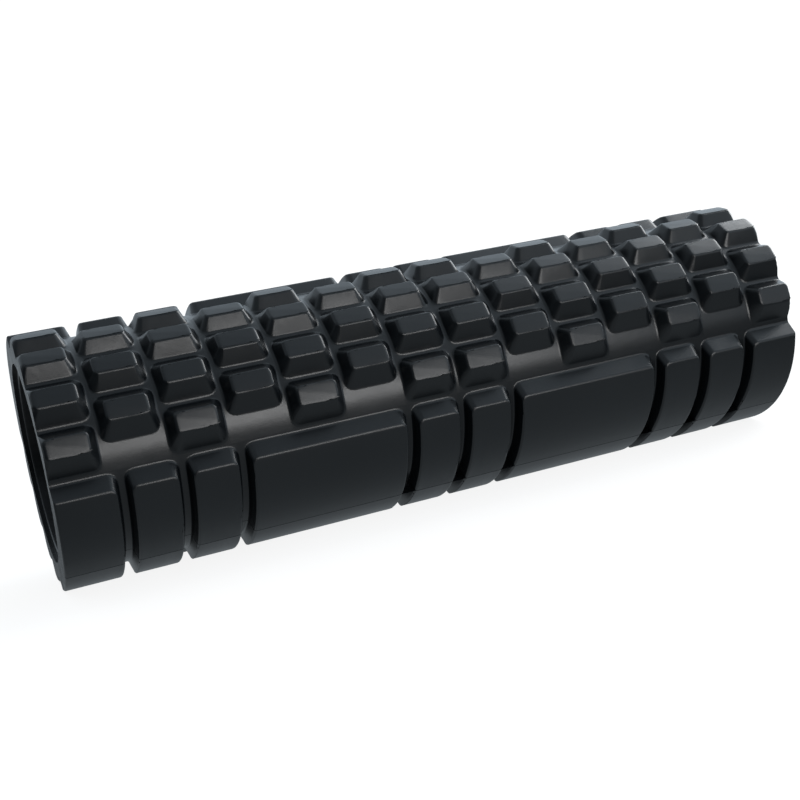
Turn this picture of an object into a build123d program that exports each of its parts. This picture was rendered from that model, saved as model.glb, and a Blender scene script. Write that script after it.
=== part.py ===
"""Textured foam roller: a rigid core tube wrapped in a moulded EVA foam mat.

Frame: the roller lies on the ground with its axis along X, +Z up and the origin
at the centre of its length, on the axis. Lengths are in millimetres and angles
in degrees. Angles round the roller start at the front, -Y, and grow upwards.
"""

from build123d import *
import os
from math import cos, radians, sin, tan

# Overall size
LENGTH = 450.0
OUTER_DIAMETER = 140.0
END_ROUNDING = 2.5

# Core tube, a 110 x 4 mm pipe cut a little shorter than the foam
CORE_DIAMETER = 110.0
CORE_WALL = 4.0
CORE_RECESS = 1.5
CORE_CHAMFER = 0.6

# Glue: a film between core and mat, and the line that closes the mat's butt joint
FILM_THICKNESS = 0.2
SEAM_WIDTH = 0.4
SEAM_ANGLE = -53.0

# Moulded pattern: two zones of blocks and, between them, two zones of long pads
ZONES = 2
ZONE_CENTRE = 44.0
TEXTURE_DEPTH = 7.5
RINGS = 14

# Blocks: crest sizes, the slope of their walls, and the pitch of rings and rows
RING_PITCH = 32.9
ROW_PITCH = 22.0
BLOCK_LENGTH = 22.2
BLOCK_ARC = 8.6
BLOCK_END_DRAFT = 21.0
BLOCK_SIDE_DRAFT = 33.0
BLOCK_CORNER = 1.2
BLOCK_FOOT_CORNER = 4.5
ROWS_IN_WIDE_RING = 4
WIDE_RINGS = (1, 3, 5, 7, 8, 10, 12, 14)

# Long pads: ring grooves between them, and the valley that parts them from the blocks
PAD_PITCH = 31.8
PAD_GROOVE = 7.6
PAD_GROOVE_DRAFT = 12.0
PAD_EDGE_ARC = 5.5
VALLEY_ARC = 17.4
WIDE_PADS = (4, 7)
RINGS_IN_WIDE_PAD = 3

# Sizes that follow
outer_radius = OUTER_DIAMETER / 2
core_radius = CORE_DIAMETER / 2
bore_radius = core_radius - CORE_WALL
core_length = LENGTH - 2 * CORE_RECESS
mat_inner_radius = core_radius + FILM_THICKNESS
floor_radius = outer_radius - TEXTURE_DEPTH
zone_spacing = 360 / ZONES
last_row_edge = (ROWS_IN_WIDE_RING - 1) / 2 * ROW_PITCH + BLOCK_ARC / 2
pad_half_arc = zone_spacing / 2 - last_row_edge - VALLEY_ARC
root_depth = 1.5
spare = 1.0


def on_circle(radius, angle):
    """Point of the YZ section at a radius and an angle from the front."""
    return (-radius * cos(radians(angle)), radius * sin(radians(angle)))


def ring_centre(ring):
    """Place along X of the middle of a block ring, counted from 1."""
    return (ring - (RINGS + 1) / 2) * RING_PITCH


def row_angles(ring):
    """Angles of a ring's blocks from the middle of their zone."""
    rows = ROWS_IN_WIDE_RING if ring in WIDE_RINGS else ROWS_IN_WIDE_RING - 1
    return [(row - (rows - 1) / 2) * ROW_PITCH for row in range(rows)]


def groove_places():
    """Places along X of the ring grooves between the long pads."""
    places = []
    edge = -RINGS / 2
    pads = RINGS - len(WIDE_PADS) * (RINGS_IN_WIDE_PAD - 1)
    for pad in range(1, pads):
        edge += RINGS_IN_WIDE_PAD if pad in WIDE_PADS else 1
        places.append(edge * PAD_PITCH)
    return places


def block_section(height):
    """Length, width and corner radius of a block's section at a height above the axis."""
    crest = outer_radius * cos(radians(BLOCK_ARC / 2))
    drop = crest - height
    length = BLOCK_LENGTH + 2 * drop * tan(radians(BLOCK_END_DRAFT))
    width = 2 * outer_radius * sin(radians(BLOCK_ARC / 2)) + 2 * drop * tan(radians(BLOCK_SIDE_DRAFT))
    corner = BLOCK_CORNER + (BLOCK_FOOT_CORNER - BLOCK_CORNER) * drop / TEXTURE_DEPTH
    return length, width, corner


# Core tube: a plain pipe with its four rims broken by a small chamfer
with BuildPart() as core_tube:
    with BuildSketch(Plane.YZ.offset(-core_length / 2)):
        Circle(core_radius)
        Circle(bore_radius, mode=Mode.SUBTRACT)
    extrude(amount=core_length)
    chamfer(core_tube.edges().filter_by(GeomType.CIRCLE), length=CORE_CHAMFER)
core_tube.part.label = "core_tube"

# Glue film between the core and the mat
with BuildPart() as core_bond:
    with BuildSketch(Plane.YZ.offset(-core_length / 2 + CORE_CHAMFER)):
        Circle(mat_inner_radius)
        Circle(core_radius, mode=Mode.SUBTRACT)
    extrude(amount=core_length - 2 * CORE_CHAMFER)
core_bond.part.label = "core_bond"

# One block, standing on top of the roller in the middle of its length
with BuildPart() as block:
    for height in (floor_radius - root_depth, outer_radius + spare):
        length, width, corner = block_section(height)
        with BuildSketch(Plane.XY.offset(height)):
            RectangleRounded(length, width, corner)
    loft(ruled=True)

# Long pads of one zone, drawn with the zone's middle at the front
with BuildPart() as pad_zone:
    foot_half_arc = pad_half_arc + PAD_EDGE_ARC
    top_radius = outer_radius + spare
    with BuildSketch(Plane.YZ.offset(-LENGTH / 2)):
        with BuildLine():
            crest = ThreePointArc(
                on_circle(top_radius, -pad_half_arc),
                on_circle(top_radius, 0),
                on_circle(top_radius, pad_half_arc),
            )
            foot = ThreePointArc(
                on_circle(floor_radius - root_depth, -foot_half_arc),
                on_circle(floor_radius - root_depth, 0),
                on_circle(floor_radius - root_depth, foot_half_arc),
            )
            Line(crest @ 0, foot @ 0)
            Line(crest @ 1, foot @ 1)
        make_face()
    extrude(amount=LENGTH)
    with BuildSketch(Plane.XZ):
        half_floor = PAD_GROOVE / 2 - TEXTURE_DEPTH * tan(radians(PAD_GROOVE_DRAFT))
        half_mouth = PAD_GROOVE / 2 + spare * tan(radians(PAD_GROOVE_DRAFT))
        with Locations(*[(place, 0) for place in groove_places()]):
            Polygon(
                (-half_floor, floor_radius),
                (half_floor, floor_radius),
                (half_mouth, outer_radius + spare),
                (-half_mouth, outer_radius + spare),
                align=None,
            )
    revolve(axis=Axis.X, mode=Mode.SUBTRACT)

# Outline that trims the crests to the outer diameter and rounds the two rims
with BuildPart() as envelope:
    with BuildSketch(Plane.YZ.offset(-LENGTH / 2)):
        Circle(outer_radius)
    extrude(amount=LENGTH)
    fillet(envelope.edges().filter_by(GeomType.CIRCLE), radius=END_ROUNDING)

# The mat in one piece, before it is slit
zone_angles = [ZONE_CENTRE + zone * zone_spacing for zone in range(ZONES)]
block_places = [
    Location((ring_centre(ring), 0, 0), (90 - (zone_angle + row_angle), 0, 0))
    for zone_angle in zone_angles
    for ring in range(1, RINGS + 1)
    for row_angle in row_angles(ring)
]
pad_places = [Location((0, 0, 0), (zone_spacing / 2 - angle, 0, 0)) for angle in zone_angles]
with BuildPart() as mat:
    with BuildSketch(Plane.YZ.offset(-LENGTH / 2)):
        Circle(floor_radius)
    extrude(amount=LENGTH)
    with Locations(*pad_places):
        add(pad_zone.part)
    with Locations(*block_places):
        add(block.part)
    add(envelope.part, mode=Mode.INTERSECT)
    with BuildSketch(Plane.YZ.offset(-LENGTH / 2)):
        Circle(mat_inner_radius)
    extrude(amount=LENGTH, mode=Mode.SUBTRACT)

# Slit where the two edges of the mat meet, from the core to past the crest
with BuildPart() as slit:
    with BuildSketch(Plane.YZ.offset(-LENGTH / 2)):
        with Locations(on_circle(outer_radius, SEAM_ANGLE)):
            Rectangle(OUTER_DIAMETER / 2, SEAM_WIDTH, rotation=180 - SEAM_ANGLE)
    extrude(amount=LENGTH)

# Foam mat, wrapped round the core with its edges butted at the slit
with BuildPart() as foam_sleeve:
    add(mat.part)
    add(slit.part, mode=Mode.SUBTRACT)
foam_sleeve.part.label = "foam_sleeve"

# Glue line that fills the slit and follows the pads and grooves it crosses
with BuildPart() as seam_bond:
    add(mat.part)
    add(slit.part, mode=Mode.INTERSECT)
seam_bond.part.label = "seam_bond"

os.makedirs("parts", exist_ok=True)
for piece in (core_tube, core_bond, foam_sleeve, seam_bond):
    export_step(piece.part, f"parts/{piece.part.label}.step")
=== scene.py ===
"""Textured foam roller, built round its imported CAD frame.

The moulded foam mat is modelled flat, the way it leaves its mould, then cut to size and rolled up
round the core. In the flat mat X runs along the roller, Z is the way round it, measured on the
moulded floor, and -Y points out of the pattern.
"""

from math import cos, pi, radians, sin, sqrt, tan

import bmesh
import bpy
from bpy.props import FloatProperty, FloatVectorProperty, PointerProperty
from mathutils import Matrix, Vector


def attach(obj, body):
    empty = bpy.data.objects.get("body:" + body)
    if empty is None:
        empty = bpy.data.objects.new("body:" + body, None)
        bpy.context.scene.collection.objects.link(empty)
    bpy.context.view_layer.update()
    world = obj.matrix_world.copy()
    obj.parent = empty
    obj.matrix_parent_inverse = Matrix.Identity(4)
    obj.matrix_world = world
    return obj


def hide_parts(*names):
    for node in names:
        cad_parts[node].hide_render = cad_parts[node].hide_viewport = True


bl_info = {
    "name": "Foam Roller",
    "version": (1, 0, 0),
    "blender": (4, 5, 0),
    "location": "3D View > Sidebar > Foam Roller",
    "description": "Models a textured EVA foam roller on a plastic core",
    "category": "Object",
}

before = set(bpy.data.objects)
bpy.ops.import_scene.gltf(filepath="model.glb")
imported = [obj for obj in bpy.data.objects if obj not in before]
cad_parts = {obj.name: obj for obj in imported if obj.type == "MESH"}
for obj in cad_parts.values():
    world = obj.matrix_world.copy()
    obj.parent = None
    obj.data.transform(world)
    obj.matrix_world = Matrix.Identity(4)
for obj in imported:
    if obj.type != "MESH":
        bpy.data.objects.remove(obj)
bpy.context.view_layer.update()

MM = 0.001
MERGE = 0.01 * MM
STEP = 1 * MM

# Moulded pattern: two zones of blocks and two of long pads. The mat is 2 mm longer and 2 mm more
# across than its CAD solid, which is 450 mm by 140 mm with blocks that stand square to their feet
LENGTH = 452 * MM
OUTER_RADIUS = 71 * MM
MAT_INNER_RADIUS = 55.2 * MM
TEXTURE_DEPTH = 7.5 * MM
FLOOR_RADIUS = OUTER_RADIUS - TEXTURE_DEPTH
SEAM_ANGLE = -53
SEAM_WIDTH = 0.4 * MM
RINGS = 14
RING_PITCH = 32.9 * MM
ROW_PITCH = 22
WIDE_RINGS = (1, 3, 5, 7, 8, 10, 12, 14)
FOOT_PITCH = 23.7
BLOCK_ZONE_HALF_ARC = 2 * FOOT_PITCH
PAD_ZONE_HALF_ARC = 42
BLOCK_ZONES = (44, 224)
PAD_ZONES = (-46, 134, 314)
PAD_PITCH = 31.8 * MM
PAD_UNITS = (1.5, 1, 1, 3, 1, 1, 3, 1, 1, 1.5)

# Shape of one block and one long pad: crest and foot, lengths in metres and arcs in degrees
BLOCK_CREST = (22.2 * MM, 8.6)
BLOCK_FOOT = (30.2 * MM, 21.4)
BLOCK_CREST_CORNER = 2.4 * MM
BLOCK_FOOT_CORNER = 4.2 * MM
PAD_GROOVE_CREST = 7.6 * MM
PAD_GROOVE_FOOT = 4.4 * MM
PAD_CREST_ARC = 70.6
PAD_FOOT_ARC = 81.6
PAD_CREST_CORNER = 3.4 * MM
PAD_FOOT_CORNER = 4.2 * MM

# Edges along the sides of a cell, besides the four that turn each rounded corner
CORNER_EDGES = 4
BLOCK_EDGES_LONG = 6
BLOCK_EDGES_ROUND = 4
PAD_EDGES_LONG = 4
PAD_EDGES_ROUND = 24

# Core tube and stage
CORE_RADIUS = 55 * MM
CORE_WALL = 4 * MM
CORE_LENGTH = 447 * MM
CORE_SIDES = 144
FLOOR_SIZE = 9

# Camera: what it looks at, how far off it stands, and how it is turned
CAMERA_TARGET = (-11.7 * MM, 0, -9.5 * MM)
CAMERA_DISTANCE = 760 * MM
CAMERA_AZIMUTH = -20.29
CAMERA_ELEVATION = 7.37
CAMERA_ROLL = -9.84
CAMERA_LENS = 56.88


def linear(code):
    """Linear colour of an sRGB hex code."""
    parts = [int(code[i : i + 2], 16) / 255 for i in (1, 3, 5)]
    return tuple(p / 12.92 if p <= 0.04045 else ((p + 0.055) / 1.055) ** 2.4 for p in parts)


# ---------------------------------------------------------------- modelling by hand, in code


def select(kind, test):
    """Selects the vertices, edges or faces of the mesh being edited that pass a test."""
    mesh = bmesh.from_edit_mesh(bpy.context.edit_object.data)
    bpy.ops.mesh.select_mode(type=kind)
    bpy.ops.mesh.select_all(action="DESELECT")
    mesh = bmesh.from_edit_mesh(bpy.context.edit_object.data)
    found = {"VERT": mesh.verts, "EDGE": mesh.edges, "FACE": mesh.faces}[kind]
    count = 0
    for element in found:
        if test(element):
            element.select_set(True)
            count += 1
    bmesh.update_edit_mesh(bpy.context.edit_object.data)
    return count


def middle(edge):
    """Midpoint of an edge."""
    return (edge.verts[0].co + edge.verts[1].co) / 2


def along(edge, axis):
    """True if an edge runs along an axis, 0 for X and 2 for Z."""
    step = edge.verts[1].co - edge.verts[0].co
    return abs(step[axis]) > 0.999 * step.length


def alone(obj):
    """Makes an object the only selected and active one."""
    if bpy.context.mode != "OBJECT":
        bpy.ops.object.mode_set(mode="OBJECT")
    bpy.ops.object.select_all(action="DESELECT")
    obj.select_set(True)
    bpy.context.view_layer.objects.active = obj


def arc(angle):
    """Length on the moulded floor of an arc in degrees."""
    return radians(angle) * FLOOR_RADIUS


def outline(length, width, height, corner, edges_long, edges_round, shift=0):
    """Adds a closed loop of edges to the mesh being edited: a rectangle, its corners rounded or not."""
    bpy.ops.mesh.primitive_plane_add(size=1, rotation=(pi / 2, 0, 0), location=(0, -height, shift))
    bpy.ops.transform.resize(value=(length, 1, width))
    if corner:
        bpy.ops.mesh.bevel(
            affect="VERTICES", offset_type="OFFSET", offset=corner, segments=CORNER_EDGES, profile=0.5
        )
    bpy.ops.mesh.delete(type="ONLY_FACE")
    for axis, edges in ((0, edges_long), (2, edges_round)):
        select(
            "EDGE",
            lambda e: not e.link_faces
            and along(e, axis)
            and (e.verts[0].co - e.verts[1].co).length > 2 * MERGE
            and abs(middle(e).y + height) < MERGE
            and e.calc_length() > (0.5 * (length, 0, width)[axis]),
        )
        bpy.ops.mesh.subdivide(number_cuts=edges - 1)


def at_height(height):
    """Test for edges that lie level at a height above the moulded floor."""
    return lambda e: all(abs(v.co.y + height) < MERGE for v in e.verts)


def cell(name, crest, foot, border, corners, edges_long, edges_round, sizes, lean=0):
    """Models one raised shape with the floor round it, its crest and foot edges filleted.

    Crest, foot and border are the length and width of the three outlines, and the crest leans
    off the middle of the foot by a distance along Z."""
    bpy.ops.object.select_all(action="DESELECT")
    bpy.ops.mesh.primitive_plane_add(size=1)
    made = bpy.context.object
    made.name = name
    bpy.ops.object.mode_set(mode="EDIT")
    bpy.ops.mesh.delete(type="VERT")
    depth = TEXTURE_DEPTH
    outline(*crest, depth, corners[0], edges_long, edges_round, lean)
    outline(*foot, 0, corners[1], edges_long, edges_round)
    select("EDGE", lambda e: True)
    bpy.ops.mesh.bridge_edge_loops()
    # The crest is closed with a grid of quads that starts half-way round a corner
    select("EDGE", at_height(depth))
    mesh = bmesh.from_edit_mesh(bpy.context.edit_object.data)
    loop = [v for v in mesh.verts if abs(v.co.y + depth) < MERGE]
    start = max(loop, key=lambda v: v.co.x / crest[0] + (v.co.z - lean) / crest[1])
    mesh.select_history.add(start)
    bpy.ops.mesh.fill_grid(span=edges_long + CORNER_EDGES, offset=0)
    # The border is bridged from a step lower, because loops in one plane can bridge crosswise
    outline(*border, -STEP, 0, edges_long + CORNER_EDGES, edges_round + CORNER_EDGES)
    select("EDGE", lambda e: (at_height(0)(e) or at_height(-STEP)(e)) and len(e.link_faces) < 2)
    bpy.ops.mesh.bridge_edge_loops()
    select("VERT", lambda v: v.co.y > STEP / 2)
    bpy.ops.transform.translate(value=(0, -STEP, 0))
    bpy.ops.mesh.select_all(action="SELECT")
    bpy.ops.mesh.normals_make_consistent(inside=False)
    for height, fillet, segments in (
        (depth, sizes.crest_fillet, 3),
        (0, sizes.foot_fillet, 3),
    ):
        select(
            "EDGE",
            lambda e: at_height(height)(e) and len(e.link_faces) == 2 and e.calc_face_angle() > 0.5,
        )
        bpy.ops.mesh.bevel(offset_type="OFFSET", offset=fillet, segments=segments, profile=0.5)
    bpy.ops.object.mode_set(mode="OBJECT")
    return made


def copies(source, places):
    """Lays copies of a cell on the flat mat, each with its own mesh, and returns them."""
    made = []
    for x, z in places:
        alone(source)
        bpy.ops.object.duplicate(linked=False)
        bpy.ops.transform.translate(value=(x, 0, z))
        made.append(bpy.context.object)
    return made


def block_cell(row, sizes):
    """Models the cell of a block whose crest stands a number of rows from the middle of its zone.

    Its foot lies further from the middle of the zone than its crest does."""
    return cell(
        "block",
        (BLOCK_CREST[0], arc(BLOCK_CREST[1])),
        (BLOCK_FOOT[0], arc(BLOCK_FOOT[1])),
        (RING_PITCH, arc(FOOT_PITCH)),
        (BLOCK_CREST_CORNER, BLOCK_FOOT_CORNER),
        BLOCK_EDGES_LONG,
        BLOCK_EDGES_ROUND,
        sizes,
        lean=arc(row * (ROW_PITCH - FOOT_PITCH)),
    )


def plain_cell():
    """Models the plain floor that takes the place of half a block at the ends of a ring of three."""
    bpy.ops.object.select_all(action="DESELECT")
    bpy.ops.mesh.primitive_grid_add(
        x_subdivisions=BLOCK_EDGES_LONG + CORNER_EDGES,
        y_subdivisions=(BLOCK_EDGES_ROUND + CORNER_EDGES) // 2,
        size=1,
        rotation=(pi / 2, 0, 0),
    )
    bpy.ops.object.mode_set(mode="EDIT")
    bpy.ops.transform.resize(value=(RING_PITCH, 1, arc(FOOT_PITCH) / 2))
    bpy.ops.object.mode_set(mode="OBJECT")
    bpy.ops.object.transform_apply(location=False, rotation=True, scale=True)
    return bpy.context.object


def block_cells(sizes):
    """Lays the cells of both block zones, and the plain floor beside the rings of three."""
    masters = {row: block_cell(row, sizes) for row in (-1.5, -1, -0.5, 0, 0.5, 1, 1.5)}
    plain = plain_cell()
    laid = []
    for ring in range(1, RINGS + 1):
        x = (ring - (RINGS + 1) / 2) * RING_PITCH
        rows = (-1.5, -0.5, 0.5, 1.5) if ring in WIDE_RINGS else (-1, 0, 1)
        for row in rows:
            laid += copies(masters[row], [(x, arc(zone + row * FOOT_PITCH)) for zone in BLOCK_ZONES])
        if ring not in WIDE_RINGS:
            places = [(x, arc(zone + row * FOOT_PITCH)) for zone in BLOCK_ZONES for row in (-1.75, 1.75)]
            laid += copies(plain, places)
    return laid, [*masters.values(), plain]


def pad_cells(sizes):
    """Lays the cells of the long-pad zones, narrow, wide and end pads."""
    masters = {}
    for units in sorted(set(PAD_UNITS)):
        length = units * PAD_PITCH
        masters[units] = cell(
            "pad",
            (length - PAD_GROOVE_CREST, arc(PAD_CREST_ARC)),
            (length - PAD_GROOVE_FOOT, arc(PAD_FOOT_ARC)),
            (length, arc(2 * PAD_ZONE_HALF_ARC)),
            (PAD_CREST_CORNER, PAD_FOOT_CORNER),
            round(8 * units) - CORNER_EDGES,
            PAD_EDGES_ROUND,
            sizes,
        )
    laid = []
    for zone in PAD_ZONES:
        edge = -sum(PAD_UNITS) / 2 * PAD_PITCH
        for units in PAD_UNITS:
            laid += copies(masters[units], [(edge + units * PAD_PITCH / 2, arc(zone))])
            edge += units * PAD_PITCH
    return laid, list(masters.values())


def flat_mat(sizes):
    """Joins the cells into one sheet, cuts it to size and gives it its thickness."""
    blocks, block_masters = block_cells(sizes)
    pads, pad_masters = pad_cells(sizes)
    for master in block_masters + pad_masters:
        bpy.data.objects.remove(master)
    bpy.ops.object.select_all(action="DESELECT")
    for laid in blocks + pads:
        laid.select_set(True)
    mat = blocks[0]
    bpy.context.view_layer.objects.active = mat
    bpy.ops.object.join()
    bpy.ops.object.transform_apply(location=True, rotation=True, scale=True)
    mat.name = "foam_mat"
    bpy.ops.object.mode_set(mode="EDIT")
    bpy.ops.mesh.select_all(action="SELECT")
    bpy.ops.mesh.remove_doubles(threshold=MERGE)

    # Cut to length, then slit where the two long edges of the mat meet
    half = LENGTH / 2
    gap = SEAM_WIDTH / 2
    start = arc(SEAM_ANGLE) + gap
    stop = arc(SEAM_ANGLE + 360) - gap
    for co, no in (
        ((half, 0, 0), (1, 0, 0)),
        ((-half, 0, 0), (-1, 0, 0)),
        ((0, 0, start), (0, 0, -1)),
        ((0, 0, stop), (0, 0, 1)),
    ):
        bpy.ops.mesh.select_all(action="SELECT")
        bpy.ops.mesh.bisect(plane_co=co, plane_no=no, clear_outer=True, threshold=MERGE / 10)

    # The strips of plain floor between the zones
    for zone in BLOCK_ZONES:
        for side in (-1, 1):
            line = arc(zone + side * (90 + BLOCK_ZONE_HALF_ARC - PAD_ZONE_HALF_ARC) / 2)
            select(
                "EDGE",
                lambda e: len(e.link_faces) == 1 and along(e, 0) and abs(middle(e).z - line) < arc(1),
            )
            bpy.ops.mesh.bridge_edge_loops()
    round_ends(sizes)

    # Walls of the four cut edges, down to the underside
    under = FLOOR_RADIUS - MAT_INNER_RADIUS
    select("EDGE", lambda e: len(e.link_faces) == 1)
    bpy.ops.mesh.extrude_edges_move()
    bpy.ops.transform.resize(value=(1, 0, 1), center_override=(0, under, 0))
    select(
        "VERT",
        lambda v: abs(v.co.y - under) < MERGE and half - abs(v.co.x) > MERGE,
    )
    bpy.ops.mesh.dissolve_verts()
    select(
        "EDGE",
        lambda e: len(e.link_faces) == 1 and abs(middle(e).y - under) < MERGE and along(e, 2),
    )
    bpy.ops.mesh.bridge_edge_loops()
    bpy.ops.mesh.select_all(action="SELECT")
    bpy.ops.mesh.normals_make_consistent(inside=False)
    bpy.ops.object.mode_set(mode="OBJECT")
    return mat


def round_ends(sizes):
    """Rounds the crests where they run out at the two ends of the roller."""
    half = LENGTH / 2
    radius = sizes.end_rounding
    for step in (0, 22, 45, 68, 83):
        inset = radius * (1 - sin(radians(step)))
        for side in (-1, 1):
            bpy.ops.mesh.select_all(action="SELECT")
            bpy.ops.mesh.bisect(
                plane_co=(side * (half - inset), 0, 0), plane_no=(1, 0, 0), threshold=MERGE / 10
            )
    mesh = bmesh.from_edit_mesh(bpy.context.edit_object.data)
    for v in mesh.verts:
        run = abs(v.co.x) - (half - radius)
        if run > 0:
            limit = TEXTURE_DEPTH - radius + sqrt(max(0, radius**2 - run**2))
            v.co.y = max(v.co.y, -limit)
    bmesh.update_edit_mesh(bpy.context.edit_object.data)


def roll_up(mat):
    """Rolls the flat mat round the core and brings it to its place."""
    alone(mat)
    zs = [v.co.z for v in mat.data.vertices]
    bend = mat.modifiers.new("Roll up", "SIMPLE_DEFORM")
    bend.deform_method = "BEND"
    bend.deform_axis = "X"
    bend.angle = (max(zs) - min(zs)) / FLOOR_RADIUS
    bpy.ops.object.modifier_apply(modifier=bend.name)
    bpy.ops.object.mode_set(mode="EDIT")
    bpy.ops.mesh.select_all(action="SELECT")
    bpy.ops.transform.translate(value=(0, -FLOOR_RADIUS, 0))
    bpy.ops.mesh.normals_make_consistent(inside=False)
    bpy.ops.object.mode_set(mode="OBJECT")
    bpy.ops.object.shade_smooth_by_angle(angle=radians(40))
    mat.modifiers.new("Weighted normals", "WEIGHTED_NORMAL").keep_sharp = True
    bpy.ops.object.modifier_apply(modifier="Weighted normals")


def core_tube(sizes):
    """Models the core as a pipe with softened rims."""
    bpy.ops.object.select_all(action="DESELECT")
    bpy.ops.mesh.primitive_cylinder_add(
        vertices=CORE_SIDES, radius=CORE_RADIUS, depth=CORE_LENGTH, rotation=(0, pi / 2, 0)
    )
    core = bpy.context.object
    core.name = "core_pipe"
    bpy.ops.object.transform_apply(location=True, rotation=True, scale=True)
    bpy.ops.object.mode_set(mode="EDIT")
    select("FACE", lambda f: abs(f.normal.x) > 0.9)
    bpy.ops.mesh.inset(thickness=CORE_WALL)
    bpy.ops.mesh.bridge_edge_loops()
    bpy.ops.mesh.select_all(action="SELECT")
    bpy.ops.mesh.normals_make_consistent(inside=False)
    select("EDGE", lambda e: e.calc_face_angle(0) > 1)
    bpy.ops.mesh.bevel(offset_type="OFFSET", offset=sizes.core_rounding, segments=3, profile=0.5)
    bpy.ops.object.mode_set(mode="OBJECT")
    bpy.ops.object.shade_smooth_by_angle(angle=radians(40))
    core.modifiers.new("Weighted normals", "WEIGHTED_NORMAL").keep_sharp = True
    bpy.ops.object.modifier_apply(modifier="Weighted normals")
    return core


# ---------------------------------------------------------------- materials


def add(tree, kind, values=None, links=None, **settings):
    """Adds a node with its settings and values, and links its sockets to other nodes' outputs."""
    made = tree.nodes.new(kind)
    for name, value in settings.items():
        setattr(made, name, value)
    for socket, value in (values or {}).items():
        made.inputs[socket].default_value = value
    for socket, output in (links or {}).items():
        tree.links.new(output, made.inputs[socket])
    return made


def new_material(name):
    """An empty material: its node tree, its shader and the object coordinates."""
    material = bpy.data.materials.new(name)
    material.use_nodes = True
    tree = material.node_tree
    shader = tree.nodes["Principled BSDF"]
    place = add(tree, "ShaderNodeTexCoord").outputs["Object"]
    return material, tree, shader, place


def grain(tree, place, size, detail=2.0, roughness=0.5):
    """Noise whose patches are about as wide as a size in metres."""
    return add(
        tree,
        "ShaderNodeTexNoise",
        values={"Scale": 1 / size, "Detail": detail, "Roughness": roughness},
        links={"Vector": place},
    ).outputs["Fac"]


def spread(tree, value, low, high, start=0.3, stop=0.7):
    """Spreads a value between two ends over a new range."""
    return add(
        tree,
        "ShaderNodeMapRange",
        values={"From Min": start, "From Max": stop, "To Min": low, "To Max": high},
        links={"Value": value},
    ).outputs["Result"]


def two_tone(tree, factor, low, high):
    """Blends two colours by a factor."""
    made = add(tree, "ShaderNodeMix", data_type="RGBA", links={"Factor": factor})
    made.inputs[6].default_value = (*low, 1)
    made.inputs[7].default_value = (*high, 1)
    return made.outputs[2]


def relief(tree, height, depth, below=None):
    """Bump from a height of 0 to 1 that stands for a depth in metres."""
    links = {"Height": height}
    if below:
        links["Normal"] = below
    return add(tree, "ShaderNodeBump", values={"Distance": depth, "Strength": 1.0}, links=links).outputs["Normal"]


def from_axis(tree, place):
    """Distance of a place from the roller's axis."""
    split = add(tree, "ShaderNodeSeparateXYZ", links={"Vector": place})
    flat = add(tree, "ShaderNodeCombineXYZ", links={"Y": split.outputs["Y"], "Z": split.outputs["Z"]})
    return add(
        tree, "ShaderNodeVectorMath", operation="LENGTH", links={"Vector": flat.outputs["Vector"]}
    ).outputs["Value"]


def moulded_eva(colours):
    """EVA foam, compression moulded: a closed satin skin, very dark with a breath of blue.

    The mould leaves a slight orange peel and a fine grain, and the crests are rubbed a little paler and
    duller than the floor. The grain is drawn at 0.7 mm."""
    material, tree, shader, place = new_material("EVA foam, moulded skin")
    crest = spread(tree, from_axis(tree, place), 0, 1, FLOOR_RADIUS, OUTER_RADIUS)
    cloud = grain(tree, place, 40 * MM, detail=4)
    mixed = add(tree, "ShaderNodeMath", operation="MULTIPLY_ADD", links={0: crest, 2: cloud})
    mixed.inputs[1].default_value = 0.5
    factor = spread(tree, mixed.outputs["Value"], 0, 1, 0.3, 1.2)
    tree.links.new(two_tone(tree, factor, colours.skin_deep, colours.skin_rubbed), shader.inputs["Base Color"])
    tree.links.new(spread(tree, mixed.outputs["Value"], 0.28, 0.36, 0.3, 1.2), shader.inputs["Roughness"])
    peel = relief(tree, grain(tree, place, 7 * MM), 0.05 * MM)
    fine = relief(tree, grain(tree, place, 0.7 * MM, detail=3, roughness=0.6), 0.012 * MM, peel)
    tree.links.new(fine, shader.inputs["Normal"])
    shader.inputs["IOR"].default_value = 1.48
    shader.inputs["Specular IOR Level"].default_value = 0.42
    return material


def cut_eva(colours):
    """EVA foam, cut with a blade: opened cells a few tenths of a millimetre wide, greyer and matt."""
    material, tree, shader, place = new_material("EVA foam, cut face")
    cells = add(
        tree, "ShaderNodeTexVoronoi", feature="F1", values={"Scale": 1 / (0.8 * MM)}, links={"Vector": place}
    ).outputs["Distance"]
    factor = spread(tree, cells, 0, 1, 0.0, 0.9)
    tree.links.new(two_tone(tree, factor, colours.cut_pore, colours.cut_wall), shader.inputs["Base Color"])
    tree.links.new(spread(tree, grain(tree, place, 12 * MM), 0.4, 0.5), shader.inputs["Roughness"])
    tree.links.new(relief(tree, cells, 0.12 * MM), shader.inputs["Normal"])
    shader.inputs["IOR"].default_value = 1.48
    return material


def extruded_abs(colours):
    """ABS pipe, extruded: satin black with faint draw lines that run the length of the pipe."""
    material, tree, shader, place = new_material("ABS, extruded")
    stretched = add(
        tree, "ShaderNodeMapping", values={"Scale": (0.01, 1, 1)}, links={"Vector": place}
    ).outputs["Vector"]
    lines = grain(tree, stretched, 1.2 * MM, detail=3)
    tree.links.new(two_tone(tree, spread(tree, lines, 0, 1), colours.pipe_low, colours.pipe_high), shader.inputs["Base Color"])
    tree.links.new(spread(tree, lines, 0.32, 0.45), shader.inputs["Roughness"])
    tree.links.new(relief(tree, lines, 0.03 * MM), shader.inputs["Normal"])
    shader.inputs["IOR"].default_value = 1.53
    return material


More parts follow.
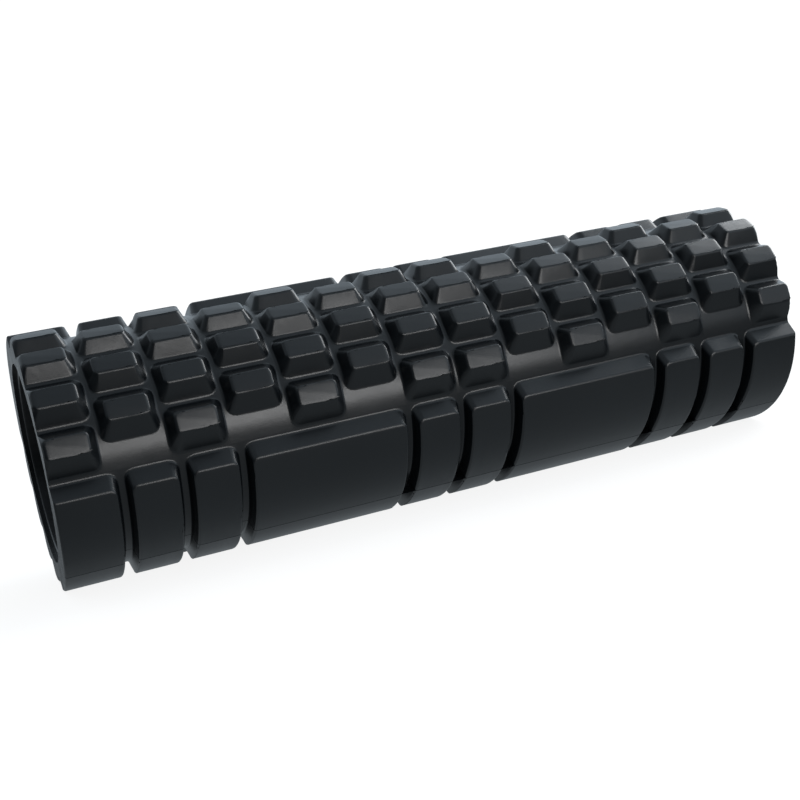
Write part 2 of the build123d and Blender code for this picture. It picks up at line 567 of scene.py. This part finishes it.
def cured_adhesive(colours):
    """Contact adhesive, brushed on and cured: rubbery, near black, a little glossier than the foam."""
    material, tree, shader, place = new_material("Contact adhesive, cured")
    beads = grain(tree, place, 2 * MM, detail=3)
    tree.links.new(two_tone(tree, spread(tree, beads, 0, 1), colours.glue_low, colours.glue_high), shader.inputs["Base Color"])
    tree.links.new(spread(tree, beads, 0.28, 0.42), shader.inputs["Roughness"])
    tree.links.new(relief(tree, beads, 0.05 * MM), shader.inputs["Normal"])
    shader.inputs["IOR"].default_value = 1.5
    return material


def studio_paint(colours):
    """Emulsion paint, rolled: a plain pale floor.

    The camera sees it near white, with a faint shadow. All other rays see a separate, dimmer glow,
    brighter under and behind the roller, so what the roller reflects isn't what the camera sees."""
    material, tree, shader, place = new_material("Emulsion paint, rolled")
    cloud = grain(tree, place, 500 * MM)
    paint = two_tone(tree, cloud, colours.floor_low, colours.floor_high)
    tree.links.new(paint, shader.inputs["Base Color"])
    shader.inputs["Roughness"].default_value = 0.9
    shader.inputs["Specular IOR Level"].default_value = 0.0
    glow = add(tree, "ShaderNodeEmission", values={"Color": (1, 1, 1, 1), "Strength": FLOOR_GLOW})
    front = add(
        tree,
        "ShaderNodeMixShader",
        values={0: FLOOR_SHADOW},
        links={1: glow.outputs["Emission"], 2: shader.outputs["BSDF"]},
    )
    reach = add(tree, "ShaderNodeVectorMath", operation="LENGTH", links={"Vector": place}).outputs["Value"]
    near = spread(tree, reach, FLOOR_NEAR, FLOOR_FAR, 0.2, 0.7)
    depth = add(tree, "ShaderNodeSeparateXYZ", links={"Vector": place}).outputs["Y"]
    behind = spread(tree, depth, 0.0, FLOOR_BEHIND, 0.15, 0.6)
    dim = add(tree, "ShaderNodeMath", operation="ADD", links={0: near, 1: behind}).outputs["Value"]
    bounce = add(
        tree, "ShaderNodeEmission", values={"Color": (*linear("#e2edf4"), 1)}, links={"Strength": dim}
    )
    seen = add(tree, "ShaderNodeLightPath").outputs["Is Camera Ray"]
    both = add(
        tree,
        "ShaderNodeMixShader",
        links={0: seen, 1: bounce.outputs["Emission"], 2: front.outputs["Shader"]},
    )
    tree.links.new(both.outputs["Shader"], tree.nodes["Material Output"].inputs["Surface"])
    return material


def wear(obj, *materials):
    """Gives an object its materials in place of any it has."""
    obj.data.materials.clear()
    for material in materials:
        obj.data.materials.append(material)


# ---------------------------------------------------------------- properties, operators and panel


class RollerSizes(bpy.types.PropertyGroup):
    """Sizes of the modelled pieces that a user would change."""

    crest_fillet: FloatProperty(
        name="Crest fillet",
        description="Width of the rounding along the crests",
        default=1.1 * MM,
        unit="LENGTH",
    )
    foot_fillet: FloatProperty(
        name="Foot fillet",
        description="Width of the hollow at the foot of the walls",
        default=1.0 * MM,
        unit="LENGTH",
    )
    end_rounding: FloatProperty(
        name="End rounding",
        description="Radius where the crests run out at the ends",
        default=1.3 * MM,
        unit="LENGTH",
    )
    core_rounding: FloatProperty(
        name="Core rounding", description="Rounding of the core's rims", default=0.6 * MM, unit="LENGTH"
    )


def colour(name, description, code):
    """A colour property with its default given as an sRGB hex code."""
    return FloatVectorProperty(
        name=name, description=description, default=linear(code), subtype="COLOR", size=3, min=0, max=1
    )


class RollerColours(bpy.types.PropertyGroup):
    """Colours of the finishes."""

    skin_deep: colour("Skin, deep", "Foam skin on the moulded floor", "#06090c")
    skin_rubbed: colour("Skin, rubbed", "Foam skin on the crests", "#090d10")
    cut_pore: colour("Cut foam, pores", "Open cells of the cut foam", "#0f1012")
    cut_wall: colour("Cut foam, walls", "Cell walls of the cut foam", "#2a2c2f")
    pipe_low: colour("Pipe, dark", "Dark draw lines of the pipe", "#0b0c0d")
    pipe_high: colour("Pipe, light", "Light draw lines of the pipe", "#121315")
    glue_low: colour("Glue, dark", "Thick glue", "#0e0e0f")
    glue_high: colour("Glue, light", "Thin glue", "#1b1b1c")
    floor_low: colour("Floor, low", "Shaded patches of the floor paint", "#f4f4f3")
    floor_high: colour("Floor, high", "Bright patches of the floor paint", "#f8f8f7")


class FOAM_ROLLER_OT_mat(bpy.types.Operator):
    """Model the moulded foam mat, roll it round the core and give it its skin"""

    bl_idname = "foam_roller.mat"
    bl_label = "Foam Mat"

    def execute(self, context):
        mat = flat_mat(context.scene.roller_sizes)
        roll_up(mat)
        colours = context.scene.roller_colours
        wear(mat, moulded_eva(colours), cut_eva(colours))
        for face in mat.data.polygons:
            face.material_index = 1 if abs(face.normal.x) > 0.99 and abs(abs(face.center.x) - LENGTH / 2) < MERGE else 0
        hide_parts("foam_sleeve")
        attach(mat, "root")
        return {"FINISHED"}


class FOAM_ROLLER_OT_core(bpy.types.Operator):
    """Model the core tube that the mat is wrapped round"""

    bl_idname = "foam_roller.core"
    bl_label = "Core Tube"

    def execute(self, context):
        core = core_tube(context.scene.roller_sizes)
        wear(core, extruded_abs(context.scene.roller_colours))
        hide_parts("core_tube")
        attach(core, "root")
        return {"FINISHED"}


class FOAM_ROLLER_OT_glue(bpy.types.Operator):
    """Finish the glue film and the glue line of the mat's joint"""

    bl_idname = "foam_roller.glue"
    bl_label = "Glue"

    def execute(self, context):
        glue = cured_adhesive(context.scene.roller_colours)
        for node in ("core_bond", "seam_bond"):
            wear(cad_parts[node], glue)
        return {"FINISHED"}


class FOAM_ROLLER_OT_stage(bpy.types.Operator):
    """Set the floor, the light and the camera"""

    bl_idname = "foam_roller.stage"
    bl_label = "Stage"

    def execute(self, context):
        bpy.ops.object.select_all(action="DESELECT")
        lowest = min(vertex.co.z for vertex in bpy.data.objects["foam_mat"].data.vertices)
        bpy.ops.mesh.primitive_plane_add(size=FLOOR_SIZE, location=(0, 0, lowest))
        floor = context.object
        floor.name = "studio_floor"
        wear(floor, studio_paint(context.scene.roller_colours))
        set_world(context.scene)
        for name, place, size, power in SOFTBOXES:
            softbox(name, place, size, power)
        set_camera(context.scene)
        context.scene.view_settings.view_transform = "Standard"
        context.scene.view_settings.look = "None"
        return {"FINISHED"}


# Softboxes: name, place in metres, width and height in metres, and power in watts
SOFTBOXES = (
    ("front_strip", (0.34, -1.85, 0.2), (1.2, 0.32), 13),
    ("right_side", (1.9, 0.3, 1.1), (1.2, 1.4), 36),
)


def set_world(scene):
    """Soft light, stronger from above, behind and the right; the camera sees plain white instead."""
    world = bpy.data.worlds.new("Studio")
    scene.world = world
    world.use_nodes = True
    tree = world.node_tree
    sky = tree.nodes["Background"]
    way = add(tree, "ShaderNodeTexCoord").outputs["Generated"]
    split = add(tree, "ShaderNodeSeparateXYZ", links={"Vector": way})
    # brighter to the back (+Y) and upwards
    back = spread(tree, split.outputs["Y"], WORLD_FRONT, WORLD_BACK, 0.0, 0.9)
    up = spread(tree, split.outputs["Z"], 0.0, WORLD_TOP, 0.2, 0.65)
    right = spread(tree, split.outputs["X"], 0.0, WORLD_RIGHT, 0.15, 0.7)
    glow = add(tree, "ShaderNodeMath", operation="ADD", links={0: back, 1: up}).outputs["Value"]
    glow = add(tree, "ShaderNodeMath", operation="ADD", links={0: glow, 1: right}).outputs["Value"]
    tree.links.new(glow, sky.inputs["Strength"])
    sky.inputs["Color"].default_value = (*linear("#dfeefa"), 1)
    plain = add(tree, "ShaderNodeBackground", values={"Color": (1, 1, 1, 1), "Strength": 1.1})
    seen = add(tree, "ShaderNodeLightPath").outputs["Is Camera Ray"]
    both = add(
        tree,
        "ShaderNodeMixShader",
        links={0: seen, 1: sky.outputs["Background"], 2: plain.outputs["Background"]},
    )
    tree.links.new(both.outputs["Shader"], tree.nodes["World Output"].inputs["Surface"])


WORLD_FRONT, WORLD_BACK, WORLD_TOP, WORLD_RIGHT = 0.1, 0.8, 0.45, 1.1
FLOOR_GLOW, FLOOR_SHADOW, FLOOR_NEAR, FLOOR_FAR, FLOOR_BEHIND = 1.1, 0.2, 0.5, 0.04, 0.8


def softbox(name, place, size, power):
    """Adds a rectangular soft light that faces the roller."""
    light = bpy.data.lights.new(name, "AREA")
    light.shape = "RECTANGLE"
    light.size, light.size_y = size
    light.energy = power
    lamp = bpy.data.objects.new(name, light)
    bpy.context.collection.objects.link(lamp)
    lamp.location = place
    lamp.rotation_euler = (-Vector(place)).to_track_quat("-Z", "Y").to_euler()


def set_camera(scene):
    """Adds the camera, turned a little about its own line of sight."""
    data = bpy.data.cameras.new("Camera")
    data.lens = CAMERA_LENS
    data.clip_start, data.clip_end = 0.01, 50
    camera = bpy.data.objects.new("Camera", data)
    scene.collection.objects.link(camera)
    turn = (
        Matrix.Rotation(radians(CAMERA_AZIMUTH), 3, "Z")
        @ Matrix.Rotation(radians(90 - CAMERA_ELEVATION), 3, "X")
        @ Matrix.Rotation(radians(CAMERA_ROLL), 3, "Z")
    )
    camera.location = Vector(CAMERA_TARGET) + turn @ Vector((0, 0, CAMERA_DISTANCE))
    camera.rotation_euler = turn.to_euler()
    scene.camera = camera


class FOAM_ROLLER_PT_panel(bpy.types.Panel):
    """Lists the pieces of the foam roller"""

    bl_idname = "FOAM_ROLLER_PT_panel"
    bl_label = "Foam Roller"
    bl_space_type = "VIEW_3D"
    bl_region_type = "UI"
    bl_category = "Foam Roller"

    def draw(self, context):
        column = self.layout.column()
        for group in (context.scene.roller_sizes, context.scene.roller_colours):
            for name in group.bl_rna.properties.keys():
                if name not in ("rna_type", "name"):
                    column.prop(group, name)
        for operator in OPERATORS:
            column.operator(operator.bl_idname)


OPERATORS = (FOAM_ROLLER_OT_mat, FOAM_ROLLER_OT_core, FOAM_ROLLER_OT_glue, FOAM_ROLLER_OT_stage)
CLASSES = (RollerSizes, RollerColours, *OPERATORS, FOAM_ROLLER_PT_panel)


def register():
    """Registers the classes and hangs the properties on the scene."""
    for made in CLASSES:
        bpy.utils.register_class(made)
    bpy.types.Scene.roller_sizes = PointerProperty(type=RollerSizes)
    bpy.types.Scene.roller_colours = PointerProperty(type=RollerColours)


def unregister():
    """Takes the properties and classes away again."""
    del bpy.types.Scene.roller_colours
    del bpy.types.Scene.roller_sizes
    for made in reversed(CLASSES):
        bpy.utils.unregister_class(made)


def main():
    """Builds the pieces and the stage."""
    register()
    bpy.ops.foam_roller.mat()
    bpy.ops.foam_roller.core()
    bpy.ops.foam_roller.glue()
    bpy.ops.foam_roller.stage()


if __name__ == "__main__":
    main()
